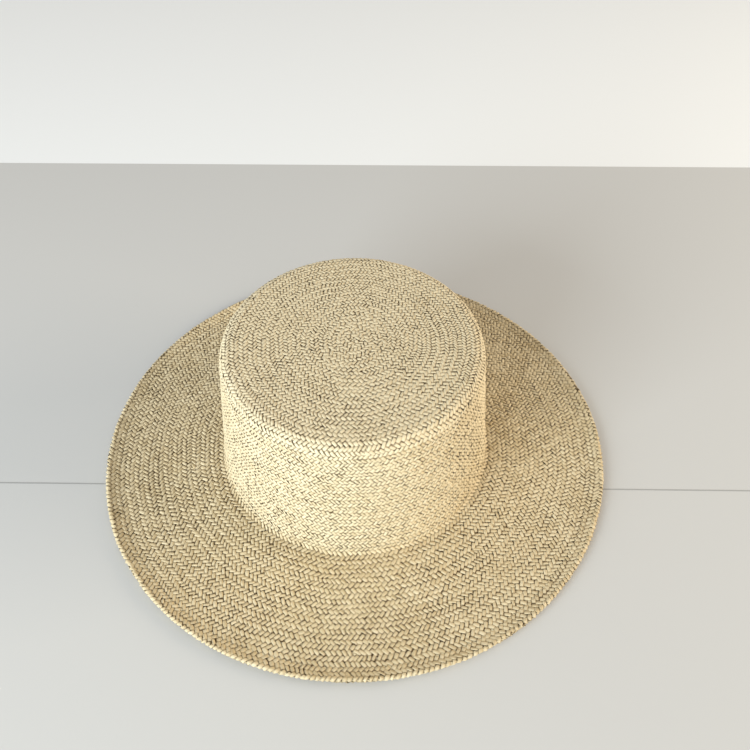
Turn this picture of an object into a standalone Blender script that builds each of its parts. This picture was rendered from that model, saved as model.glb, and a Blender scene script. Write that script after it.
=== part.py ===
"""A wide brimmed straw hat with a flat topped crown, resting on its brim.

Frame: metres, +Z up. The origin is the centre of the surface that the hat rests on.
+Y is the hat's front to back line, which is the longer one, and X is its width.

The hat is one woven sheet, worked from the centre of the tip out to the edge of the brim. Its inner
face is one profile, carried round an oval. The crown and the brim are the two stretches of that sheet,
and the hem is the doubled band where the brim's edge is folded under.
"""

import math

import bmesh
import bpy

# The head opening and the crown, measured inside.
HEAD_HALF_WIDTH = 0.0908
HEAD_HALF_LENGTH = 0.0946
CROWN_HEIGHT = 0.0989
CROWN_TAPER = 0.0085
SHOULDER_RADIUS = 0.0050
TIP_CROWNING = 0.0012

# The brim, measured from the foot of the crown.
BRIM_WIDTH = 0.0845
BRIM_ROOT_RISE = 0.0024
CREASE_RADIUS = 0.0042
CREASE_COLLAR = 0.0012
HEM_WIDTH = 0.0088
HEM_LIFT = 0.0030

# The straw, and the clearance between two pieces that meet.
STRAW_WALL = 0.0018
HEM_WALL = 0.0030
CLEARANCE = 0.0003

# The number of flats round the oval.
SEGMENTS = 72

# The tip from its centre to the shoulder: shares of its half width, and of the crowning that is left.
TIP_ROWS = (
    {"out": 0.40, "height": 1.00},
    {"out": 0.70, "height": 0.62},
    {"out": 0.90, "height": 0.20},
)
# The crown's wall from the shoulder down to its foot: shares of its height.
WALL_ROWS = (
    {"height": 0.66},
    {"height": 0.33},
    {"height": 0.00},
)
# The brim from the crease to the hem: shares of its width, and of the rise at its root.
BRIM_ROWS = (
    {"out": 0.14, "height": 0.80},
    {"out": 0.32, "height": 0.38},
    {"out": 0.52, "height": 0.08},
    {"out": 0.70, "height": 0.00},
    {"out": 1.00, "height": 0.00},
)
# The hem's section from its inner edge out: shares of its width, and of its lift.
HEM_UNDER_ROWS = (
    {"out": 0.00, "height": 0.00},
    {"out": 0.42, "height": 0.00},
    {"out": 0.72, "height": 0.30},
    {"out": 1.00, "height": 0.78},
)
# How many flats turn each rounded corner of the profile.
SHOULDER_FLATS = 5
CREASE_FLATS = 3
HEM_EDGE_FLATS = 4

STRAW_COLOUR = (0.78, 0.68, 0.46, 1.0)
HEM_COLOUR = (0.80, 0.71, 0.50, 1.0)
STRAW_ROUGHNESS = 0.62

# The brim's under face stands this far above the hem's, because the hem is folded under it.
BRIM_UNDER = HEM_WALL - STRAW_WALL
# The crown's wall starts above the crease and the short upright collar that the crease turns into.
CROWN_FOOT = BRIM_UNDER + BRIM_ROOT_RISE + CREASE_RADIUS + CREASE_COLLAR


def clear_scene():
    """Removes every object that the scene holds."""
    for thing in list(bpy.data.objects):
        bpy.data.objects.remove(thing)


def make_collection(name):
    """A new collection in the scene."""
    collection = bpy.data.collections.new(name)
    bpy.context.scene.collection.children.link(collection)
    return collection


def make_straw(name, colour):
    """A matt straw material of one colour."""
    material = bpy.data.materials.new(name)
    material.use_nodes = True
    shader = material.node_tree.nodes["Principled BSDF"]
    shader.inputs["Base Color"].default_value = colour
    shader.inputs["Roughness"].default_value = STRAW_ROUGHNESS
    shader.inputs["Metallic"].default_value = 0.0
    return material


def wall_inset(height):
    """How far the crown's wall has leaned in at a height, from its foot to the tip."""
    return CROWN_TAPER * (height - CROWN_FOOT) / (CROWN_HEIGHT - CROWN_FOOT)


def crown_profile():
    """The crown's inner face from the tip's edge to its foot, as (outward offset, height) rows.

    The offset is from the head opening's oval. The shoulder is an arc between the tip and the wall.
    """
    corner_height = CROWN_HEIGHT - SHOULDER_RADIUS
    centre_out = -wall_inset(corner_height) - SHOULDER_RADIUS
    rows = []
    for step in range(SHOULDER_FLATS + 1):
        turn = math.pi / 2 * step / SHOULDER_FLATS
        rows.append(
            (
                centre_out + SHOULDER_RADIUS * math.sin(turn),
                corner_height + SHOULDER_RADIUS * math.cos(turn),
            )
        )
    for row in WALL_ROWS:
        height = CROWN_FOOT + row["height"] * (corner_height - CROWN_FOOT)
        rows.append((-wall_inset(height), height))
    return rows


def tip_profile(edge_out):
    """The tip's inner face, from its centre disc to the shoulder, as ovals.

    Each oval is a half width, a half length and a height. edge_out is the offset at the tip's edge.
    """
    ovals = []
    for row in TIP_ROWS:
        half_width = row["out"] * (HEAD_HALF_WIDTH + edge_out)
        half_length = row["out"] * (HEAD_HALF_LENGTH + edge_out)
        height = CROWN_HEIGHT + TIP_CROWNING * row["height"]
        ovals.append((half_width, half_length, height))
    return ovals


def brim_profile():
    """The brim's under face, from the top of its collar out to the hem, as (outward offset, height)."""
    collar_top = CROWN_FOOT - CLEARANCE
    rows = [(0.0, collar_top)]
    for step in range(CREASE_FLATS + 1):
        turn = math.pi / 2 * step / CREASE_FLATS
        rows.append(
            (
                CREASE_RADIUS * (1 - math.cos(turn)),
                collar_top - CREASE_COLLAR - CREASE_RADIUS * math.sin(turn),
            )
        )
    start = CREASE_RADIUS
    end = BRIM_WIDTH - HEM_WIDTH - CLEARANCE
    rise = rows[-1][1] - BRIM_UNDER
    for row in BRIM_ROWS:
        rows.append((start + (end - start) * row["out"], BRIM_UNDER + rise * row["height"]))
    return rows


def hem_section():
    """The hem's closed section: its upper face, its rounded edge and its under face."""
    start = BRIM_WIDTH - HEM_WIDTH
    edge_radius = HEM_WALL / 2
    edge_out = BRIM_WIDTH - edge_radius
    edge_height = HEM_LIFT * HEM_UNDER_ROWS[-1]["height"] + edge_radius
    under = [
        (start + (edge_out - start) * row["out"], HEM_LIFT * row["height"])
        for row in HEM_UNDER_ROWS
    ]
    edge = []
    for step in range(1, HEM_EDGE_FLATS):
        turn = math.pi / 2 - math.pi * step / HEM_EDGE_FLATS
        edge.append(
            (edge_out + edge_radius * math.cos(turn), edge_height + edge_radius * math.sin(turn))
        )
    upper = [(out, height + HEM_WALL) for out, height in under]
    return upper + edge + under[::-1]


def oval_point(half_width, half_length, height, step):
    """One corner of an oval, counted round from +X towards +Y."""
    turn = 2 * math.pi * step / SEGMENTS
    return (half_width * math.cos(turn), half_length * math.sin(turn), height)


def head_oval(out, height):
    """The oval that lies outside the head opening by an offset."""
    return (HEAD_HALF_WIDTH + out, HEAD_HALF_LENGTH + out, height)


def loft(name, ovals, closed_tip=False, closed_section=False):
    """A mesh of quads from each oval to the next, looking up and outwards when the ovals run outwards.

    closed_tip fills the first oval, and closed_section joins the last oval back to the first.
    """
    bm = bmesh.new()
    rings = [
        [bm.verts.new(oval_point(*oval, step)) for step in range(SEGMENTS)] for oval in ovals
    ]
    if closed_tip:
        bm.faces.new(rings[0])
    pairs = list(zip(rings, rings[1:]))
    if closed_section:
        pairs.append((rings[-1], rings[0]))
    for inner, outer in pairs:
        for step in range(SEGMENTS):
            following = (step + 1) % SEGMENTS
            bm.faces.new((inner[step], outer[step], outer[following], inner[following]))
    mesh = bpy.data.meshes.new(name)
    bm.to_mesh(mesh)
    bm.free()
    return mesh


def make_shell(name, mesh, material, collection):
    """A named object whose open face gets the straw's thickness on its outer, upper side."""
    shell = bpy.data.objects.new(name, mesh)
    collection.objects.link(shell)
    mesh.materials.append(material)
    mesh.shade_smooth()
    wall = shell.modifiers.new("straw_wall", "SOLIDIFY")
    wall.thickness = STRAW_WALL
    wall.offset = 1.0
    wall.use_even_offset = True
    wall.use_rim = True
    return shell


def make_crown(material, collection):
    """The flat tip, its rounded shoulder and the tapered wall, open at the foot."""
    side = crown_profile()
    ovals = tip_profile(side[0][0])
    ovals += [head_oval(out, height) for out, height in side]
    return make_shell("crown", loft("crown", ovals, closed_tip=True), material, collection)


def make_brim(material, collection):
    """The collar, the crease and the wide, nearly flat brim, out to the hem."""
    ovals = [head_oval(out, height) for out, height in brim_profile()]
    return make_shell("brim", loft("brim", ovals), material, collection)


def make_hem(material, collection):
    """The doubled band round the brim's edge, folded under and lifted a little at its rim."""
    ovals = [head_oval(out, height) for out, height in hem_section()]
    mesh = loft("brim_hem", ovals, closed_section=True)
    mesh.materials.append(material)
    mesh.shade_smooth()
    hem = bpy.data.objects.new("brim_hem", mesh)
    collection.objects.link(hem)
    return hem


def main():
    clear_scene()
    collection = make_collection("straw_hat")
    straw = make_straw("straw", STRAW_COLOUR)
    hem_straw = make_straw("hem_straw", HEM_COLOUR)
    make_crown(straw, collection)
    make_brim(straw, collection)
    make_hem(hem_straw, collection)


main()
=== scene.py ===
"""Weaves a wide brimmed straw hat over its fixed frame, and sets a plain stage for it.

Everything is in metres, +Z up, with the origin on the surface that the hat rests on.

The hat is one sheet of straw. Straws leave the middle of the tip in two families, one leaning left
and one leaning right, and cross on rings that lie half a float apart. Each straw runs over two
crossings and under two, so rows of floats that lean one way alternate with rows that lean the other
way. Where the sheet widens, new pairs of straws are laid in, and at the brim's edge the sheet is
folded under.
"""

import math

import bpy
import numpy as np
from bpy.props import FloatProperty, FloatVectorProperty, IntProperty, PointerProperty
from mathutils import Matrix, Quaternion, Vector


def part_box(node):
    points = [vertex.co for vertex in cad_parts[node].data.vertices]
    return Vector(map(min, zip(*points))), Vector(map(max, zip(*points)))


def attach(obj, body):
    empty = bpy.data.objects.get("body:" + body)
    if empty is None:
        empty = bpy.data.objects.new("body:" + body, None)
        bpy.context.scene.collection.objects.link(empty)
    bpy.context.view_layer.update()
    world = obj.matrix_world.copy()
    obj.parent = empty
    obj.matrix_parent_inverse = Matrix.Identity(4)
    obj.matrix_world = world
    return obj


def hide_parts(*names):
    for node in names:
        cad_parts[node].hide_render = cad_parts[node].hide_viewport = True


bl_info = {
    "name": "Woven Straw Hat",
    "version": (1, 0, 0),
    "blender": (4, 5, 0),
    "location": "3D View > Sidebar > Straw Hat",
    "description": "Weaves a wide brimmed straw hat over its frame and sets a stage for it",
    "category": "Object",
}

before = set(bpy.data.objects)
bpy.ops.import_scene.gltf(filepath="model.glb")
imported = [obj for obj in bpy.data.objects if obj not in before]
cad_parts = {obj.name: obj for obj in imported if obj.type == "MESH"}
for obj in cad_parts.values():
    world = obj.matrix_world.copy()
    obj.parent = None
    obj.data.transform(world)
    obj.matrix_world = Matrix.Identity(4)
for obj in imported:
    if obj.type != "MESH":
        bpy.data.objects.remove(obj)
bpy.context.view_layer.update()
CROWN_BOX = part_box("crown")
BRIM_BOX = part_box("brim")
HEM_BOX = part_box("brim_hem")

FULL_TURN = 2 * math.pi

# The weave's repeat: two rings over, two rings under. A pitch is two rings as well.
RINGS_OVER = 2
RINGS_IN_REPEAT = 4
RINGS_IN_PITCH = 2

# The ring that the straws start from, next to the middle of the tip.
FIRST_RING = 1
FIRST_CROSSINGS = 4

# How many points a stretch of the sheet's section gets before it is read again at equal steps.
ARC_POINTS = 24
TIP_POINTS = 120
BRIM_POINTS = 60
HEM_POINTS = 20
# The brim falls over this share of its width.
BRIM_FALL = 0.66
# The hem is level over this share of its width, and then rises as a power of what is left.
HEM_LEVEL = 0.2
HEM_CURVE = 1.7

# A straw's section, from its left edge over the top to its right edge and below: shares of its
# width and of its thickness. Its edges are counted from 0, so the middle of its top is at 1.5.
SECTION_ROWS = (
    {"across": -0.50, "up": 0.00},
    {"across": -0.27, "up": 0.50},
    {"across": 0.27, "up": 0.50},
    {"across": 0.50, "up": 0.00},
    {"across": 0.00, "up": -0.50},
)
TOP_MIDDLE = 1.5

# A straw's height over the middle of the sheet, in lifts: in the middle of a float and at its ends.
# A tucked end lies below by TUCKED.
FLOAT_MIDDLE = 1.16
FLOAT_ENDS = 0.92
TUCKED = 1.35
LIFT_SPREAD = 0.06
# The narrowest straw, as a share of the widest. Straws run at half a right angle to the rings, so
# SLANT turns their space along a ring into space across them.
NARROWEST = 0.35
SLANT = math.sqrt(0.5)
# How pale a straw is, from 0 to 1, and how much straws, and the floats of one straw, differ.
TONE = 0.62
STRAW_TONE_SPREAD = 0.10
FLOAT_TONE_SPREAD = 0.08
# The step of the straw_run map from one straw to the next: a whole number of repeats.
MAP_STEP = 40

# The straw's paint. Fibres are stretched along a straw, and patches, and patches where the painted
# shade between straws is deeper, are places on the hat.
FIBRES_ALONG = 0.5
FIBRES_ACROSS = 3.5
FIBRE_CONTRAST = 0.55
PATCH_SCALE = 42.0
PATCH_CONTRAST = 0.5
PALE_RANGE = (0.05, 1.0)
# Patches where the painted shade between straws is deeper.
DEEP_SHADE_SCALE = 420.0
DEEP_SHADE_DETAIL = 1.0
DEEP_SHADE_RANGE = (0.42, 0.60)
# Painted shade where a straw dips under another, and along its edges and under it, which stands in
# for the shade in the gaps between straws: where it starts and ends, how dark it is everywhere, and
# how much darker in the patches of deeper painted shade.
DIP_SHADE = {"start": 0.60, "end": 0.97, "dark": 0.45, "darker": 0.55}
CREVICE_SHADE = {"start": 1.22, "end": 1.50, "dark": 0.10, "darker": 0.85}
STRAW_ROUGHNESS = 0.44
FIBRE_ROUGHNESS = 0.3
STRAW_SPECULAR = 0.2
STRAW_SHEEN = 0.04
SHEEN_ROUGHNESS = 0.5
FIBRE_BUMP = {"Strength": 0.35, "Distance": 0.0002}
# How far a piece's straw is turned towards tan, or towards pale where it is less than 0. This is
# partly the straw's own tone and partly painted light: the tip is paler as if better lit, and the
# brim and the hem are darker as painted shade.
TIP_TAN_AND_SHADE = -0.25
BRIM_TAN_AND_SHADE = 0.15
HEM_TAN_AND_SHADE = 0.2

# The floor's seam is a strip this high over the floor, with this share of the floor's colour.
SEAM_RISE = 0.00008
SEAM_SHADE = 0.62
ROOM_ROUGHNESS = 0.6
SENSOR_WIDTH = 36.0

# Which families a piece has, by whether they lean right.
RIGHT, LEFT, BOTH = (True,), (False,), (True, False)
# The frame node that a piece stands in for, and its material slot.
CROWN = ("crown", "straw")
BRIM = ("brim", "straw")
HEM = ("brim_hem", "hem_straw")

# What keeps a division by a length from failing.
LEAST_WIDTH = 1e-6
LEAST_LENGTH = 1e-12
# The numbers of a Mix node's sockets for colours: its share, its two colours and its result.
MIX_SHARE, MIX_FIRST, MIX_SECOND, MIX_RESULT = 0, 6, 7, 2


class HatSizes(bpy.types.PropertyGroup):
    """The sizes of the sheet that the straws are woven into, close to those of the solids."""

    wall: FloatProperty(
        name="Sheet", description="Thickness of the woven sheet", default=0.0018, unit="LENGTH"
    )
    crown_taper: FloatProperty(
        name="Crown taper",
        description="How far the crown leans in from its foot to the tip",
        default=0.0085,
        unit="LENGTH",
    )
    shoulder_radius: FloatProperty(
        name="Shoulder", description="Inner radius of the tip's edge", default=0.0064, unit="LENGTH"
    )
    tip_crowning: FloatProperty(
        name="Tip crowning",
        description="Rise of the tip's middle over its edge",
        default=0.0012,
        unit="LENGTH",
    )
    crease_radius: FloatProperty(
        name="Crease", description="Under radius of the crease", default=0.0042, unit="LENGTH"
    )
    root_rise: FloatProperty(
        name="Brim rise",
        description="How much higher the brim is at the crease than further out",
        default=0.0024,
        unit="LENGTH",
    )
    hem_width: FloatProperty(
        name="Hem width",
        description="Width of the band folded under",
        default=0.0088,
        unit="LENGTH",
    )
    hem_wall: FloatProperty(
        name="Hem", description="Thickness of the doubled band", default=0.0030, unit="LENGTH"
    )
    hem_lift: FloatProperty(
        name="Hem lift", description="Rise of the brim's edge", default=0.0018, unit="LENGTH"
    )
    hem_foot: FloatProperty(
        name="Hem foot",
        description="How much higher the band lies than its thickness alone would put it",
        default=0.00045,
        unit="LENGTH",
    )


class StrawSettings(bpy.types.PropertyGroup):
    """The straws and how they are woven."""

    tip_pitch: FloatProperty(
        name="Tip pitch",
        description="Distance from one crossing to the next along a ring of the tip",
        default=0.00285,
        unit="LENGTH",
    )
    brim_pitch: FloatProperty(
        name="Brim pitch",
        description="The same distance on the brim",
        default=0.00325,
        unit="LENGTH",
    )
    widest: FloatProperty(
        name="Widest straw", description="Width of the widest straw", default=0.0026, unit="LENGTH"
    )
    fill: FloatProperty(
        name="Fill",
        description="Width of a straw as a share of the space that it has",
        default=1.01,
        subtype="FACTOR",
    )
    hem_fill: FloatProperty(
        name="Hem fill",
        description="How much wider the straws of the hem are",
        default=1.12,
        subtype="FACTOR",
    )
    thickness: FloatProperty(
        name="Straw thickness", description="Thickness of one straw", default=0.0008, unit="LENGTH"
    )
    lift: FloatProperty(
        name="Crossing lift",
        description="Height of a straw's middle over the middle of the sheet",
        default=0.00040,
        unit="LENGTH",
    )
    stray: FloatProperty(
        name="Stray",
        description="How far crossings stray from their place, as a share of the pitch",
        default=0.06,
        subtype="FACTOR",
    )
    wave: FloatProperty(
        name="Wave",
        description="How far the rings wave in and out, in rings",
        default=0.45,
    )
    uneven: FloatProperty(
        name="Uneven width",
        description="How much the straws' widths differ",
        default=0.07,
        subtype="FACTOR",
    )
    twist: FloatProperty(
        name="Twist",
        description="How far single floats lean to one side",
        default=math.radians(11),
        subtype="ANGLE",
    )
    seed: IntProperty(name="Seed", description="Picks another hat of the same kind", default=11)
    pale: FloatVectorProperty(
        name="Pale straw",
        description="Colour of the palest straws",
        default=(0.708, 0.602, 0.402),
        subtype="COLOR",
        size=3,
    )
    tan: FloatVectorProperty(
        name="Tan straw",
        description="Colour of the darkest straws",
        default=(0.56, 0.445, 0.262),
        subtype="COLOR",
        size=3,
    )
    # Painted shade: the dark colour mixed into a straw where it dips under another and along its
    # edges.
    painted_shade_colour: FloatVectorProperty(
        name="Gap",
        description="Colour of a straw where it dips under another",
        default=(0.055, 0.024, 0.002),
        subtype="COLOR",
        size=3,
    )


class StageSettings(bpy.types.PropertyGroup):
    """The camera, the lights and the floor."""

    camera_distance: FloatProperty(
        name="Camera distance",
        description="From the camera to the middle of the hat's foot",
        default=0.5808,
        unit="LENGTH",
    )
    camera_height: FloatProperty(
        name="Camera elevation",
        description="Angle of the camera over the floor",
        default=math.radians(51.13),
        subtype="ANGLE",
    )
    camera_pan: FloatProperty(
        name="Camera pan",
        description="Turn to the left",
        default=math.radians(-1.55),
        subtype="ANGLE",
    )
    camera_tilt: FloatProperty(
        name="Camera tilt",
        description="Turn upwards",
        default=math.radians(4.614),
        subtype="ANGLE",
    )
    camera_roll: FloatProperty(
        name="Camera roll",
        description="Turn clockwise",
        default=math.radians(1.917),
        subtype="ANGLE",
    )
    lens: FloatProperty(
        name="Lens", description="Focal length on a 36 mm wide sensor", default=38.4
    )
    floor_side: FloatProperty(
        name="Floor side", description="Side of the floor", default=6.0, unit="LENGTH"
    )
    room_turn: FloatProperty(
        name="Room turn",
        description="How far the floor turns clockwise from the hat's width",
        default=math.radians(3.2),
        subtype="ANGLE",
    )
    back_edge: FloatProperty(
        name="Back edge",
        description="Distance from the middle of the hat to the floor's back edge",
        default=0.3655,
        unit="LENGTH",
    )
    seam: FloatProperty(
        name="Seam",
        description="Place of the floor's seam, measured towards the back",
        default=-0.0412,
        unit="LENGTH",
    )
    seam_width: FloatProperty(
        name="Seam width", description="Width of the floor's seam", default=0.0009, unit="LENGTH"
    )
    back_colour: FloatVectorProperty(
        name="Back sheet",
        description="Colour of the paler sheet further back",
        default=(0.89, 0.91, 0.92),
        subtype="COLOR",
        size=3,
    )
    floor_colour: FloatVectorProperty(
        name="Floor",
        description="Colour of the floor",
        default=(0.575, 0.575, 0.565),
        subtype="COLOR",
        size=3,
    )
    window_side: FloatProperty(
        name="Light side", description="Side of each of the two lights", default=1.0, unit="LENGTH"
    )
    window_power: FloatProperty(
        name="Window power", description="Power of the window light", default=44.0, unit="POWER"
    )
    window_azimuth: FloatProperty(
        name="Window azimuth",
        description="Direction that the window light comes from, anticlockwise from +X",
        default=math.radians(229),
        subtype="ANGLE",
    )
    window_elevation: FloatProperty(
        name="Window elevation",
        description="Angle of the window light over the floor",
        default=math.radians(15.5),
        subtype="ANGLE",
    )
    window_distance: FloatProperty(
        name="Light distance",
        description="From each of the two lights to the hat",
        default=1.7,
        unit="LENGTH",
    )
    window_colour: FloatVectorProperty(
        name="Window colour",
        description="Colour of the window light",
        default=(0.85, 0.945, 1.0),
        subtype="COLOR",
        size=3,
    )
    fill_power: FloatProperty(
        name="Fill power", description="Power of the warm light", default=29.0, unit="POWER"
    )
    fill_azimuth: FloatProperty(
        name="Fill azimuth",
        description="Direction that the warm light comes from, anticlockwise from +X",
        default=math.radians(355),
        subtype="ANGLE",
    )
    fill_elevation: FloatProperty(
        name="Fill elevation",
        description="Angle of the warm light over the floor",
        default=math.radians(12),
        subtype="ANGLE",
    )
    fill_colour: FloatVectorProperty(
        name="Fill colour",
        description="Colour of the warm light",
        default=(1.0, 0.86, 0.66),
        subtype="COLOR",
        size=3,
    )
    room_light: FloatProperty(
        name="Room light", description="Strength of the light from all round", default=0.61
    )
    room_colour: FloatVectorProperty(
        name="Room colour",
        description="Colour of the light from all round",
        default=(1.0, 0.97, 0.92),
        subtype="COLOR",
        size=3,
    )


def arc(centre, radius, start, stop):
    """An arc in the section plane: centre plus radius times (cosine, sine) of even turns."""
    turn = np.linspace(start, stop, ARC_POINTS)
    return np.column_stack((centre[0] + radius * np.cos(turn), centre[1] + radius * np.sin(turn)))


def smoothed(rows, reach):
    """Each row becomes a weighted mean of the rows within reach, which rounds a curve's corners."""
    ends = np.pad(rows, ((reach, reach), (0, 0)), mode="reflect", reflect_type="odd")
    kernel = np.hanning(2 * reach + 3)[1:-1]
    kernel /= kernel.sum()
    return np.column_stack([np.convolve(column, kernel, mode="valid") for column in ends.T])


class Sheet:
    """The middle of the woven sheet: one section carried round an oval.

    A point is given by its ring and by its turn round the oval, and its place is (half width times
    cosine, half length times sine, height). Rings count arc length along the section in half
    pitches, and the pitch grows from the tip's edge to the crown's foot.
    """

    STEP = 0.00025
    ROUNDING_STEPS = 7

    def __init__(self, sizes, straw):
        outer = CROWN_BOX[1]
        middle = sizes.wall / 2
        foot_width, foot_length = outer.x - middle, outer.y - middle
        top = outer.z - middle - sizes.tip_crowning
        brim_width = HEM_BOX[1].x - outer.x + sizes.wall
        rows = self.section(sizes, top, brim_width)
        edge_out = rows[0, 0]
        share = np.linspace(0, 1, TIP_POINTS)[:-1]
        tip = np.column_stack(
            (
                share * (foot_width + edge_out - middle),
                share * (foot_length + edge_out - middle),
                top + sizes.tip_crowning * (1 - share**2),
            )
        )
        side = np.column_stack(
            (foot_width - middle + rows[:, 0], foot_length - middle + rows[:, 0], rows[:, 1])
        )
        fine = self.even(np.concatenate((tip, side)), self.STEP)
        fine = self.even(smoothed(fine, self.ROUNDING_STEPS), self.STEP)
        self.rows = fine
        self.along = self.lengths(fine)
        self.slope = np.gradient(fine, self.along, axis=0)
        edge = self.along[np.argmax(fine[:, 2] <= top - sizes.shoulder_radius)]
        foot = self.along[np.argmax(fine[:, 2] <= BRIM_BOX[1].z)]
        self.pitch = np.interp(self.along, (edge, foot), (straw.tip_pitch, straw.brim_pitch))
        ring_step = (self.pitch[1:] + self.pitch[:-1]) / 2 / RINGS_IN_PITCH
        self.ring_at = np.concatenate(([0], np.cumsum(np.diff(self.along) / ring_step)))
        self.rings = int(self.ring_at[-1])
        self.ring_at *= self.rings / self.ring_at[-1]
        self.hem_ring = self.ring_at_out(foot_width - middle + brim_width - sizes.hem_width)
        self.foot_ring = self.ring_at_height(BRIM_BOX[1].z)
        self.shoulder_ring = self.ring_at_height(top - sizes.shoulder_radius - middle)

    @staticmethod
    def section(sizes, top, brim_width):
        """The section from the tip's edge to the inner edge of the hem's under layer.

        Its rows are (out, height), and out is measured from the inside of the crown's foot. It is
        an arc at the shoulder, a line down the wall, an arc at the crease, a falling line across the
        brim, the hem's upper layer, a half circle at the edge and the hem's under layer. The middles
        of the hem's two layers lie at a quarter and at three quarters of its thickness.
        """
        middle = sizes.wall / 2
        under = sizes.hem_wall - sizes.wall
        foot = BRIM_BOX[1].z
        crease_top = under + sizes.root_rise + sizes.crease_radius
        lean = math.atan2(sizes.crown_taper, top - foot)
        radius = sizes.shoulder_radius
        shoulder_out = -sizes.crown_taper - radius + radius * math.sin(lean)
        shoulder = arc((shoulder_out, top - radius - middle), radius + middle, math.pi / 2, lean)
        crease = arc(
            (sizes.crease_radius, crease_top),
            sizes.crease_radius - middle,
            math.pi + lean,
            1.5 * math.pi,
        )
        hem_start = brim_width - sizes.hem_width
        share = np.linspace(0, 1, BRIM_POINTS)[1:]
        brim_out = sizes.crease_radius + (hem_start - sizes.crease_radius) * share
        fall = 0.5 + 0.5 * np.cos(math.pi * np.clip(share / BRIM_FALL, 0, 1))
        brim = np.column_stack((brim_out, under + middle + sizes.root_rise * fall))
        layer = sizes.hem_wall / 4
        edge_out = brim_width - sizes.hem_wall / 2
        across = np.linspace(0, 1, HEM_POINTS)[1:]
        out = hem_start + (edge_out - hem_start) * across
        rising = np.clip((across - HEM_LEVEL) / (1 - HEM_LEVEL), 0, 1) ** HEM_CURVE
        rise = sizes.hem_foot + sizes.hem_lift * rising
        upper = np.column_stack((out, 3 * layer + rise))
        fold = arc((edge_out, 2 * layer + rise[-1]), layer, math.pi / 2, -math.pi / 2)[1:]
        lower = np.column_stack((out, layer + rise))[::-1]
        return np.concatenate((shoulder, crease, brim, upper, fold[:-1], lower))

    @staticmethod
    def lengths(rows):
        """Arc length at each row, along the mean of the two half axes."""
        steps = np.diff(rows, axis=0)
        return np.concatenate(([0], np.cumsum(np.hypot(steps[:, :2].mean(1), steps[:, 2]))))

    @classmethod
    def even(cls, rows, step):
        """The rows read again at equal steps of arc length."""
        along = cls.lengths(rows)
        places = np.linspace(0, along[-1], round(along[-1] / step) + 1)
        return np.column_stack([np.interp(places, along, column) for column in rows.T])

    def ring_at_out(self, half_width):
        """The first ring that lies this far out."""
        return int(self.ring_at[np.argmax(self.rows[:, 0] >= half_width)])

    def ring_at_height(self, height):
        """The first ring that lies this low."""
        return int(self.ring_at[np.argmax(self.rows[:, 2] <= height)])

    def crossings(self):
        """How many crossings each ring holds: its length over the pitch, and never fewer than the
        ring before it."""
        rounds = FULL_TURN * self.rows[:, :2].mean(1) / self.pitch
        counts = np.round(np.interp(np.arange(self.rings + 1), self.ring_at, rounds)).astype(int)
        counts[: FIRST_RING + 1] = FIRST_CROSSINGS
        return np.maximum.accumulate(counts)

    def at(self, ring, turn):
        """Places and outward normals at rings and turns.

        A normal is the cross product of the slope along the section and the slope round the oval.
        """
        along = np.interp(ring, self.ring_at, self.along)
        width, length, height = (np.interp(along, self.along, column) for column in self.rows.T)
        slopes = [np.interp(along, self.along, column) for column in self.slope.T]
        cosine, sine = np.cos(turn), np.sin(turn)
        flat = np.zeros_like(turn)
        place = np.stack((width * cosine, length * sine, height + flat), -1)
        down = np.stack((slopes[0] * cosine, slopes[1] * sine, slopes[2] + flat), -1)
        around = np.stack((-sine, cosine * length / np.maximum(width, LEAST_WIDTH), flat), -1)
        return place, unit(np.cross(down, around))


def unit(vectors):
    """The vectors at length one."""
    lengths = np.linalg.norm(vectors, axis=-1, keepdims=True)
    return vectors / np.maximum(lengths, LEAST_LENGTH)


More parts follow.
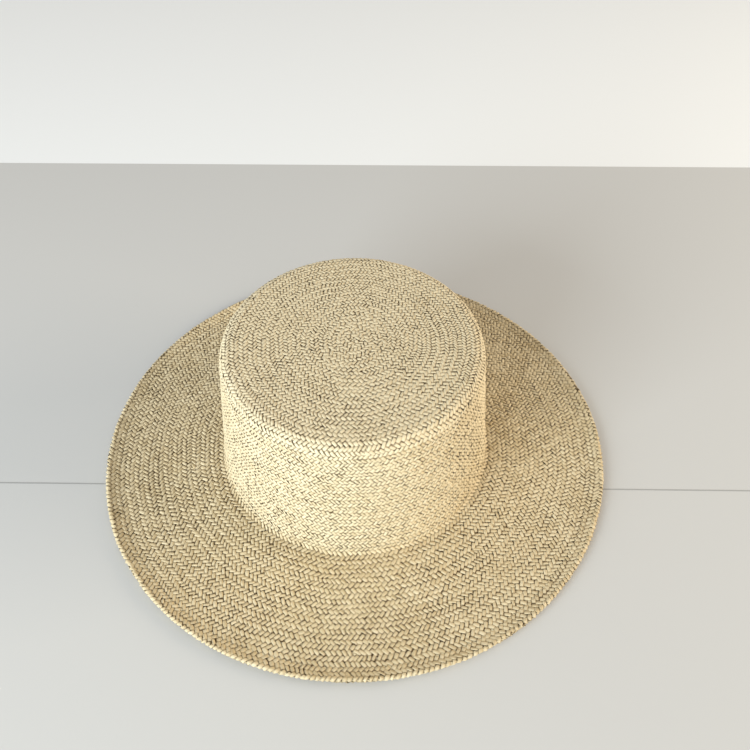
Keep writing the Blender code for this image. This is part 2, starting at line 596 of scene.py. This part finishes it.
class Lattice:
    """The straws' crossings, ring by ring.

    Between two neighbours on one ring lies one crossing of the next ring. A straw that leans right
    goes to the crossing on its right, and one that leans left to the crossing on its left. A new
    pair of straws starts at a crossing right below one of the ring above. Crossings spread out
    evenly a little at a time. Both families of straws pass through the same crossings, which stray
    a little.

    turn, gap and shift hold an array over (ring, straw) for each family: the straw's turn, the
    space that it has, and how far its crossing lies out of its ring, in rings.
    """

    SPREADING_ROUNDS = 6
    EVENING = 0.08
    # How many waves a ring has in each of its sines, and how far phases drift to the next ring.
    WAVES = np.array((3, 5, 8, 13, 21))
    PHASE_DRIFT = 0.22
    # Rings next to the middle of the tip keep closer to their places, up to this one.
    CALM_RINGS = 12

    def __init__(self, counts, straw):
        self.random = np.random.default_rng(straw.seed)
        self.straw = straw
        self.phases = self.random.uniform(0, FULL_TURN, len(self.WAVES))
        last = len(counts) - 1
        shape = (last + 1, counts[last])
        self.turn = {right: np.full(shape, np.nan) for right in BOTH}
        self.gap = {right: np.full(shape, np.nan) for right in BOTH}
        self.shift = {right: np.zeros(shape) for right in BOTH}
        first = counts[FIRST_RING]
        turns = np.arange(first) * FULL_TURN / first
        right_at, left_at = np.arange(first), np.arange(first)
        left_turns = np.zeros(first)
        self.write(FIRST_RING, turns, right_at, left_at, left_turns)
        for ring in range(FIRST_RING, last):
            added = self.new_places(len(turns), counts[ring + 1] - len(turns))
            marks = np.zeros(len(turns), int)
            marks[added] = 1
            below = np.arange(len(turns)) + np.cumsum(marks)
            new = np.empty(counts[ring + 1])
            new[below] = (turns + np.append(turns[1:], turns[0] + FULL_TURN)) / 2
            new[below[added] - 1] = turns[added]
            left_turns = np.where(left_at == 0, left_turns - FULL_TURN, left_turns)
            right_at = np.append(below[right_at], below[added] - 1)
            left_at = np.append(below[left_at - 1], below[added] - 1)
            left_turns = np.append(left_turns, np.zeros(len(added)))
            turns = self.spread(new)
            self.write(ring + 1, turns, right_at, left_at, left_turns)

    def new_places(self, crossings, new):
        """Which crossings get a new pair below: one at random in each equal stretch of the ring."""
        edges = np.linspace(0, crossings, new + 1)
        low, high = np.ceil(edges[:-1]).astype(int), np.ceil(edges[1:]).astype(int)
        if not new:
            return np.zeros(0, int)
        return self.random.integers(low, np.maximum(high, low + 1))

    def spread(self, turns):
        """Each crossing moves towards the middle of its neighbours, then towards even spacing."""
        for _ in range(self.SPREADING_ROUNDS):
            before = np.append(turns[-1] - FULL_TURN, turns[:-1])
            after = np.append(turns[1:], turns[0] + FULL_TURN)
            turns = turns / 2 + (before + after) / 4
        even = np.arange(len(turns)) * FULL_TURN / len(turns)
        even += (turns - even).mean()
        return turns + self.EVENING * (even - turns)

    def wave(self, turns):
        """How far a ring waves in and out: a sum of sines, whose phases drift from ring to ring."""
        self.phases += self.random.normal(0, self.PHASE_DRIFT, len(self.WAVES))
        sines = np.sin(turns[:, None] * self.WAVES + self.phases)
        return self.straw.wave * sines.sum(1) / math.sqrt(len(self.WAVES))

    def write(self, ring, turns, right_at, left_at, left_turns):
        """Notes each straw's turn, space and shift on a ring."""
        before = np.append(turns[-1] - FULL_TURN, turns[:-1])
        after = np.append(turns[1:], turns[0] + FULL_TURN)
        gaps = (after - before) / 2
        strayed = turns + self.random.normal(0, self.straw.stray, len(turns)) * gaps
        calm = min(1.0, ring / self.CALM_RINGS)
        shift = self.random.normal(0, self.straw.stray, len(turns)) * RINGS_IN_PITCH
        shift += self.wave(turns)
        for right, at, whole in ((True, right_at, 0.0), (False, left_at, left_turns)):
            self.turn[right][ring, : len(at)] = strayed[at] + whole
            self.gap[right][ring, : len(at)] = gaps[at]
            self.shift[right][ring, : len(at)] = shift[at] * calm


def with_tails(turns):
    """Each straw's turns with one added on the ring before its first crossing, in line with its run.

    Also a mask of the added ones, where the straw is tucked under the others.
    """
    tailed = turns.copy()
    first = np.argmax(~np.isnan(turns), axis=0)
    straws = np.arange(turns.shape[1])
    following = np.minimum(first + 1, len(turns) - 1)
    tail = 2 * turns[first, straws] - turns[following, straws]
    tailed[first - 1, straws] = tail
    tucked = np.zeros(turns.shape, bool)
    tucked[first - 1, straws] = True
    return tailed, tucked


def sample_rings(first, last):
    """The places along a straw that get a section: each ring, and the middle of each float."""
    whole = np.arange(first, last + 1)
    middles = whole[(whole % RINGS_OVER == 0) & (whole < last)] + 0.5
    return np.sort(np.concatenate((whole, middles)))


def between_rings(values, places):
    """Values on the rings read at places between them."""
    low = np.floor(places).astype(int)
    high = np.minimum(low + 1, len(values) - 1)
    share = (places - low)[:, None]
    mixed = values[low] * (1 - share) + values[high] * share
    return np.where(share == 0, values[low], mixed)


def float_heights(places, over_first):
    """The height of a straw along its run, in lifts: over 0 on a float, and under 0 below one."""
    phase = (places - (0 if over_first else RINGS_OVER)) % RINGS_IN_REPEAT
    height = np.where(phase < RINGS_OVER, 1.0, -1.0)
    return height * np.where(places % 1, FLOAT_MIDDLE, FLOAT_ENDS)


def straw_draws(straw, shape, fill, leans_right):
    """What differs by chance over (ring, straw): a straw's widths, leans, tones and lifts.

    A float spans RINGS_OVER rings, which share its lean and its tone.
    """
    random = np.random.default_rng(straw.seed + (1 if leans_right else 2))
    rings, straws = shape
    floats = (rings // RINGS_OVER + 1, straws)
    widths = fill * (1 + random.normal(0, straw.uneven, straws))
    widths = widths * (1 + random.normal(0, straw.uneven / 2, shape))
    leans = np.repeat(random.normal(0, straw.twist, floats), RINGS_OVER, axis=0)
    tones = TONE + random.normal(0, STRAW_TONE_SPREAD, straws)
    tones = tones + np.repeat(random.normal(0, FLOAT_TONE_SPREAD, floats), RINGS_OVER, axis=0)
    lifts = 1 + random.normal(0, LIFT_SPREAD, shape)
    return widths, leans[:rings], tones[:rings], lifts


def run_directions(centre):
    """Each straw's unit direction at each place: from the place before it to the place after it.

    At an end of the straw the place itself stands in for the one that is missing.
    """
    missing = np.full((1, *centre.shape[1:]), np.nan)
    step = centre[1:] - centre[:-1]
    forward = np.concatenate((missing, centre[2:] - centre[:-2], missing))
    for end in (np.concatenate((step, missing)), np.concatenate((missing, step))):
        forward = np.where(np.isnan(forward), end, forward)
    return unit(np.nan_to_num(forward))


def straw_run(sheet, lattice, straw, first, last, leans_right, fill):
    """The straws of one family between two rings, as arrays over (place, straw).

    Returns their section points, whether each is there, its ring, and its tone. A section is the
    straw's own width and thickness, set across its run and square to it.
    """
    gaps = lattice.gap[leans_right]
    widths, leans, tones, lifts = straw_draws(straw, gaps.shape, fill, leans_right)
    turns, tucked = with_tails(lattice.turn[leans_right])
    places = sample_rings(first, last)
    run = between_rings(turns, places)
    there = ~np.isnan(run)
    ring = places[:, None] + between_rings(lattice.shift[leans_right], places)
    middle, normal = sheet.at(ring, np.nan_to_num(run))
    radius = np.hypot(middle[..., 0], middle[..., 1])
    gap = between_rings(np.nan_to_num(gaps, nan=0.0), places)
    room = np.where(gap > 0, gap * radius, straw.tip_pitch / 2) * SLANT
    width = np.clip(room, straw.widest * NARROWEST, straw.widest) * between_rings(widths, places)
    hidden = between_rings(tucked.astype(float), places)
    height = float_heights(places, leans_right)[:, None] * between_rings(lifts, places)
    height = height * (1 - hidden) - TUCKED * hidden
    centre = middle + normal * (height * straw.lift)[..., None]
    centre[~there] = np.nan
    forward = run_directions(centre)
    side = unit(np.cross(forward, normal))
    up = np.cross(side, forward)
    lean = between_rings(leans, places)[..., None]
    side, up = side * np.cos(lean) + up * np.sin(lean), up * np.cos(lean) - side * np.sin(lean)
    across = np.array([row["across"] for row in SECTION_ROWS])
    rise = np.array([row["up"] for row in SECTION_ROWS])
    points = (
        centre[:, :, None]
        + side[:, :, None] * (width[..., None] * across)[..., None]
        + up[:, :, None] * (straw.thickness * rise)[..., None]
    )
    return points, there, places, between_rings(tones, places)


def straw_faces(there):
    """The faces of closed straws, from an array over (place, straw) that says where each straw is.

    Quads join each section to the next along a straw, and a flat cap closes each end.
    """
    around = len(SECTION_ROWS)
    number = np.cumsum(there.ravel()).reshape(there.shape) - 1
    place, straw = np.nonzero(there[:-1] & there[1:])
    here = number[place, straw][:, None] * around
    following = number[place + 1, straw][:, None] * around
    point = np.arange(around)
    beside = (point + 1) % around
    quads = np.stack(
        np.broadcast_arrays(here + point, here + beside, following + beside, following + point), -1
    ).reshape(-1, 4)
    starts = np.nonzero(there & ~np.pad(there, ((1, 0), (0, 0)))[:-1])
    ends = np.nonzero(there & ~np.pad(there, ((0, 1), (0, 0)))[1:])
    caps = np.concatenate(
        (number[starts][:, None] * around + point[::-1], number[ends][:, None] * around + point)
    )
    return quads, caps


def woven_mesh(name, runs):
    """One mesh of straws from one or more families, with a map along each straw, and its tone.

    The map's u is the ring plus MAP_STEP for each straw, and its v counts the section's edges.
    """
    points, quads, caps, marks, tones = [], [], [], [], []
    made = 0
    for coordinates, there, places, tone in runs:
        around = len(SECTION_ROWS)
        some_quads, some_caps = straw_faces(there)
        quads.append(some_quads + made)
        caps.append(some_caps + made)
        points.append(coordinates[there].reshape(-1, 3))
        ring, number = np.nonzero(there)
        marks.append(np.repeat(np.column_stack((places[ring], number)), around, axis=0))
        tones.append(np.repeat(tone[there], around))
        made += there.sum() * around
    points, quads, caps = np.concatenate(points), np.concatenate(quads), np.concatenate(caps)
    marks, tones = np.concatenate(marks), np.concatenate(tones)
    corners = np.concatenate((quads.ravel(), caps.ravel()))
    sides = np.concatenate((np.full(len(quads), 4), np.full(len(caps), len(SECTION_ROWS))))
    mesh = bpy.data.meshes.new(name)
    mesh.vertices.add(len(points))
    mesh.vertices.foreach_set("co", points.astype(np.float32).ravel())
    mesh.loops.add(len(corners))
    mesh.loops.foreach_set("vertex_index", corners.astype(np.int32))
    mesh.polygons.add(len(sides))
    mesh.polygons.foreach_set("loop_start", (np.cumsum(sides) - sides).astype(np.int32))
    mesh.update(calc_edges=True)
    mesh.shade_smooth()
    sharp = mesh.attributes.new("sharp_face", "BOOLEAN", "FACE")
    sharp.data.foreach_set("value", sides != 4)
    layer = mesh.attributes.new("tone", "FLOAT", "POINT")
    layer.data.foreach_set("value", tones.astype(np.float32))
    across = np.tile(np.arange(len(SECTION_ROWS)), len(points) // len(SECTION_ROWS))
    beside = across[corners]
    # The second and third corners of a quad lie on the far edge of its side. On the last side that
    # is edge 0 again, and the map counts on to it.
    corner = np.arange(len(corners))
    far_edge = (corner < quads.size) & np.isin(corner % 4, (1, 2))
    beside = np.where(far_edge & (beside == 0), len(SECTION_ROWS), beside)
    run = mesh.uv_layers.new(name="straw_run")
    mapped = np.column_stack((marks[corners, 0] + MAP_STEP * marks[corners, 1], beside))
    run.uv.foreach_set("vector", mapped.astype(np.float32).ravel())
    mesh.validate()
    return mesh


class Wire:
    """A socket whose arithmetic adds Math nodes to its material."""

    def __init__(self, paint, socket):
        self.paint = paint
        self.socket = socket

    def beside(self, output):
        """Another output of the same node."""
        return Wire(self.paint, self.socket.node.outputs[output])

    def __add__(self, other):
        return self.paint.math("ADD", self, other)

    def __sub__(self, other):
        return self.paint.math("SUBTRACT", self, other)

    def __mul__(self, other):
        return self.paint.math("MULTIPLY", self, other)

    def __mod__(self, other):
        return self.paint.math("FLOORED_MODULO", self, other)

    def __radd__(self, other):
        return self.paint.math("ADD", other, self)

    def __rsub__(self, other):
        return self.paint.math("SUBTRACT", other, self)

    def __rmul__(self, other):
        return self.paint.math("MULTIPLY", other, self)

    def __abs__(self):
        return self.paint.math("ABSOLUTE", self)


class Paint:
    """A material under construction."""

    def __init__(self, name):
        self.material = bpy.data.materials.new(name)
        self.material.use_nodes = True
        self.tree = self.material.node_tree
        self.tree.nodes.clear()

    def node(self, kind, settings=None, sockets=None, output=0):
        """Adds a node, sets it up, fills or links its sockets and returns one of its outputs."""
        made = self.tree.nodes.new(kind)
        for key, value in (settings or {}).items():
            setattr(made, key, value)
        for key, value in (sockets or {}).items():
            if isinstance(value, Wire):
                self.tree.links.new(value.socket, made.inputs[key])
            else:
                made.inputs[key].default_value = value
        return Wire(self, made.outputs[output]) if made.outputs else None

    def math(self, operation, *values):
        """A Math node on values or wires."""
        return self.node("ShaderNodeMath", {"operation": operation}, dict(enumerate(values)))

    def between(self, value, low, high):
        """0 up to low, 1 from high, and smooth in between."""
        sockets = {"Value": value, "From Min": low, "From Max": high}
        return self.node("ShaderNodeMapRange", {"interpolation_type": "SMOOTHSTEP"}, sockets)

    def mix(self, share, first, second):
        """Two colours mixed by a share."""
        sockets = {MIX_SHARE: share, MIX_FIRST: first, MIX_SECOND: second}
        return self.node("ShaderNodeMix", {"data_type": "RGBA"}, sockets, output=MIX_RESULT)

    def noise(self, vector, scale, detail=2.0):
        """Noise about 0.5, with scale features to each unit of its vector."""
        sockets = {"Vector": vector, "Scale": scale, "Detail": detail}
        return self.node("ShaderNodeTexNoise", None, sockets)

    def finish(self, sockets):
        """Closes the material with a Principled shader that has these sockets."""
        shader = self.node("ShaderNodeBsdfPrincipled", None, sockets)
        self.node("ShaderNodeOutputMaterial", None, {"Surface": shader})
        return self.material


def opaque(colour):
    """A colour with its alpha."""
    return (*colour, 1.0)


def painted_shade_at(paint, distance, shade_span, deep_shade):
    """How dark the painted shade is at a distance from a straw's middle, and darker in the patches
    of deeper painted shade.
    """
    reach = paint.between(distance, shade_span["start"], shade_span["end"])
    return reach * (shade_span["dark"] + deep_shade * shade_span["darker"])


def straw_paint(name, straw, tan_and_shade):
    """Dry palm straw: pale and tan straws, long fibres, and painted shade in the gaps between
    straws.

    How pale it is: its tone, plus the contrast of fibres and of patches, less the piece's turn
    towards tan and painted shade.
    How far it is the painted shade's colour: 1 - (1 - dip's dark) * (1 - crevice's dark). A dip is
    measured along the straw from the middle of its float, and a crevice across it from its top's
    middle.
    """
    paint = Paint(name)
    tone = paint.node("ShaderNodeAttribute", {"attribute_name": "tone"}, output="Fac")
    run = paint.node("ShaderNodeUVMap", {"uv_map": "straw_run"})
    place = paint.node("ShaderNodeTexCoord", output="Object")
    along = paint.node("ShaderNodeSeparateXYZ", None, {0: run}, output="X")
    across = along.beside("Y")
    stretched = {0: along * FIBRES_ALONG, 1: across * FIBRES_ACROSS, 2: 0.0}
    fibres = paint.noise(paint.node("ShaderNodeCombineXYZ", None, stretched), 1.0)
    patches = paint.noise(place, PATCH_SCALE)
    # The piece's turn towards tan holds painted light on the tip and painted shade on the brim and
    # the hem.
    pale = tone + (fibres - 0.5) * FIBRE_CONTRAST + (patches - 0.5) * PATCH_CONTRAST - tan_and_shade
    pale = paint.between(pale, *PALE_RANGE)
    colour = paint.mix(pale, opaque(straw.tan), opaque(straw.pale))
    # Patches where the painted shade between straws is deeper.
    deep_shade_noise = paint.noise(place, DEEP_SHADE_SCALE, DEEP_SHADE_DETAIL)
    deep_shade = paint.between(deep_shade_noise, *DEEP_SHADE_RANGE)
    # Painted shade near the ends of each float, where the straw dips under another, and along the
    # straw's edges and under it.
    from_float = abs((along + 0.5) % float(RINGS_OVER) - 1.0)
    dip_shade = painted_shade_at(paint, from_float, DIP_SHADE, deep_shade)
    crevice = painted_shade_at(paint, abs(across - TOP_MIDDLE), CREVICE_SHADE, deep_shade)
    shade = 1.0 - (1.0 - dip_shade) * (1.0 - crevice)
    return paint.finish(
        {
            "Base Color": paint.mix(shade, colour, opaque(straw.painted_shade_colour)),
            "Roughness": STRAW_ROUGHNESS + fibres * FIBRE_ROUGHNESS,
            "Specular IOR Level": STRAW_SPECULAR,
            "Sheen Weight": STRAW_SHEEN,
            "Sheen Roughness": SHEEN_ROUGHNESS,
            "Normal": paint.node("ShaderNodeBump", None, {**FIBRE_BUMP, "Height": fibres}),
        }
    )


def add_object(name, data):
    """A new object in the scene."""
    thing = bpy.data.objects.new(name, data)
    bpy.context.scene.collection.objects.link(thing)
    return thing


def weave(context, name, first, last, families, node, slot, wider=1.0, tan_and_shade=0.0):
    """Makes one woven piece between two rings and sets it in place of its frame node."""
    sizes, straw = context.scene.hat_sizes, context.scene.hat_straw
    sheet = Sheet(sizes, straw)
    lattice = Lattice(sheet.crossings(), straw)
    rings = sheet_ring(sheet, first), sheet_ring(sheet, last)
    fill = straw.fill * wider
    runs = [straw_run(sheet, lattice, straw, *rings, right, fill) for right in families]
    piece = add_object(name, woven_mesh(name, runs))
    piece.data.materials.append(straw_paint(name + "_finish", straw, tan_and_shade))
    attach(piece, "root")
    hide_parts(node)
    return piece


def sheet_ring(sheet, name):
    """A named ring of the sheet."""
    rings = {
        "middle": 0,
        "shoulder": sheet.shoulder_ring,
        "foot": sheet.foot_ring,
        "hem": sheet.hem_ring,
        "end": sheet.rings,
    }
    return rings[name]


class HAT_OT_weave_crown(bpy.types.Operator):
    """Weave the tip, the shoulder and the crown's wall"""

    bl_idname = "straw_hat.weave_crown"
    bl_label = "Weave crown"

    def execute(self, context):
        weave(context, "crown_tip_weave", "middle", "shoulder", BOTH, *CROWN, tan_and_shade=TIP_TAN_AND_SHADE)
        weave(context, "crown_wall_right_straws", "shoulder", "foot", RIGHT, *CROWN)
        weave(context, "crown_wall_left_straws", "shoulder", "foot", LEFT, *CROWN)
        return {"FINISHED"}


class HAT_OT_weave_brim(bpy.types.Operator):
    """Weave the crease and the brim out to the hem"""

    bl_idname = "straw_hat.weave_brim"
    bl_label = "Weave brim"

    def execute(self, context):
        weave(context, "brim_right_straws", "foot", "hem", RIGHT, *BRIM, tan_and_shade=BRIM_TAN_AND_SHADE)
        weave(context, "brim_left_straws", "foot", "hem", LEFT, *BRIM, tan_and_shade=BRIM_TAN_AND_SHADE)
        return {"FINISHED"}


class HAT_OT_weave_hem(bpy.types.Operator):
    """Weave the band that is folded under the brim's edge"""

    bl_idname = "straw_hat.weave_hem"
    bl_label = "Weave hem"

    def execute(self, context):
        wider = context.scene.hat_straw.hem_fill
        weave(context, "brim_hem_weave", "hem", "end", BOTH, *HEM, wider, HEM_TAN_AND_SHADE)
        return {"FINISHED"}


class HAT_OT_set_stage(bpy.types.Operator):
    """Lay the floor, hang the lights and place the camera"""

    bl_idname = "straw_hat.set_stage"
    bl_label = "Set stage"

    def execute(self, context):
        stage = context.scene.hat_stage
        lay_floor(stage)
        light_room(context.scene, stage)
        place_camera(context.scene, stage)
        return {"FINISHED"}


def stage_sheet(name, stage, corners, colour):
    """A flat sheet of the room, with its corners given before the room is turned."""
    turned = Matrix.Rotation(-stage.room_turn, 3, "Z")
    mesh = bpy.data.meshes.new(name)
    mesh.from_pydata([turned @ Vector(corner) for corner in corners], [], [(0, 1, 2, 3)])
    paint = Paint(name + "_paint")
    finish = {"Base Color": opaque(colour), "Roughness": ROOM_ROUGHNESS}
    mesh.materials.append(paint.finish(finish))
    add_object(name, mesh)


def lay_floor(stage):
    """The floor, the seam across it, and a paler sheet on the ground further back."""
    reach = stage.floor_side / 2
    back = stage.back_edge

    def strip(low, high, height):
        ends = ((-reach, low), (reach, low), (reach, high), (-reach, high))
        return [(*end, height) for end in ends]

    stage_sheet("floor", stage, strip(-reach, back, 0), stage.floor_colour)
    seam = strip(stage.seam, stage.seam + stage.seam_width, SEAM_RISE)
    stage_sheet("floor_seam", stage, seam, [share * SEAM_SHADE for share in stage.floor_colour])
    stage_sheet("back_sheet", stage, strip(back, reach, 0), stage.back_colour)


def hang_light(name, side, power, colour, azimuth, elevation, distance):
    """A square light that faces the middle of the hat's foot."""
    data = bpy.data.lights.new(name, "AREA")
    data.shape = "SQUARE"
    data.size = side
    data.energy = power
    data.color = colour
    light = add_object(name, data)
    level = math.cos(elevation)
    towards = Vector((level * math.cos(azimuth), level * math.sin(azimuth), math.sin(elevation)))
    light.location = towards * distance
    light.rotation_euler = towards.to_track_quat("Z", "Y").to_euler()


def light_room(scene, stage):
    """A window light from the front left, a warm one from the right, and the room's even light."""
    hang_light(
        "window_light",
        stage.window_side,
        stage.window_power,
        stage.window_colour,
        stage.window_azimuth,
        stage.window_elevation,
        stage.window_distance,
    )
    hang_light(
        "warm_light",
        stage.window_side,
        stage.fill_power,
        stage.fill_colour,
        stage.fill_azimuth,
        stage.fill_elevation,
        stage.window_distance,
    )
    world = bpy.data.worlds.new("room")
    world.use_nodes = True
    background = world.node_tree.nodes["Background"]
    background.inputs["Color"].default_value = opaque(stage.room_colour)
    background.inputs["Strength"].default_value = stage.room_light
    scene.world = world
    scene.view_settings.view_transform = "Standard"


def place_camera(scene, stage):
    """The camera stands in front of the hat, looks at the middle of its foot, and is then turned by
    its pan, tilt and roll."""
    place = Vector((0, -math.cos(stage.camera_height), math.sin(stage.camera_height)))
    place *= stage.camera_distance
    forward = -place.normalized()
    right = Vector((1, 0, 0))
    up = right.cross(forward)
    pan = Quaternion(up, stage.camera_pan)
    forward, right = pan @ forward, pan @ right
    tilt = Quaternion(right, stage.camera_tilt)
    forward, up = tilt @ forward, tilt @ up
    roll = Quaternion(forward, stage.camera_roll)
    right, up = roll @ right, roll @ up
    data = bpy.data.cameras.new("camera")
    data.lens = stage.lens
    data.sensor_width = SENSOR_WIDTH
    camera = add_object("camera", data)
    facing = Matrix((right, up, -forward)).transposed().to_4x4()
    camera.matrix_world = Matrix.Translation(place) @ facing
    scene.camera = camera


class HAT_PT_panel(bpy.types.Panel):
    """The straw hat's sizes, straws and stage"""

    bl_idname = "HAT_PT_panel"
    bl_label = "Straw Hat"
    bl_space_type = "VIEW_3D"
    bl_region_type = "UI"
    bl_category = "Straw Hat"

    def draw(self, context):
        layout = self.layout
        for group in (context.scene.hat_sizes, context.scene.hat_straw, context.scene.hat_stage):
            box = layout.box()
            for name in group.__annotations__:
                box.prop(group, name)
        for operator in OPERATORS:
            layout.operator(operator.bl_idname)


OPERATORS = (HAT_OT_weave_crown, HAT_OT_weave_brim, HAT_OT_weave_hem, HAT_OT_set_stage)
CLASSES = (HatSizes, StrawSettings, StageSettings, *OPERATORS, HAT_PT_panel)


def register():
    for one in CLASSES:
        bpy.utils.register_class(one)
    bpy.types.Scene.hat_sizes = PointerProperty(type=HatSizes)
    bpy.types.Scene.hat_straw = PointerProperty(type=StrawSettings)
    bpy.types.Scene.hat_stage = PointerProperty(type=StageSettings)


def unregister():
    del bpy.types.Scene.hat_sizes
    del bpy.types.Scene.hat_straw
    del bpy.types.Scene.hat_stage
    for one in reversed(CLASSES):
        bpy.utils.unregister_class(one)


def main():
    register()
    bpy.ops.straw_hat.set_stage()
    bpy.ops.straw_hat.weave_crown()
    bpy.ops.straw_hat.weave_brim()
    bpy.ops.straw_hat.weave_hem()


if __name__ == "__main__":
    main()
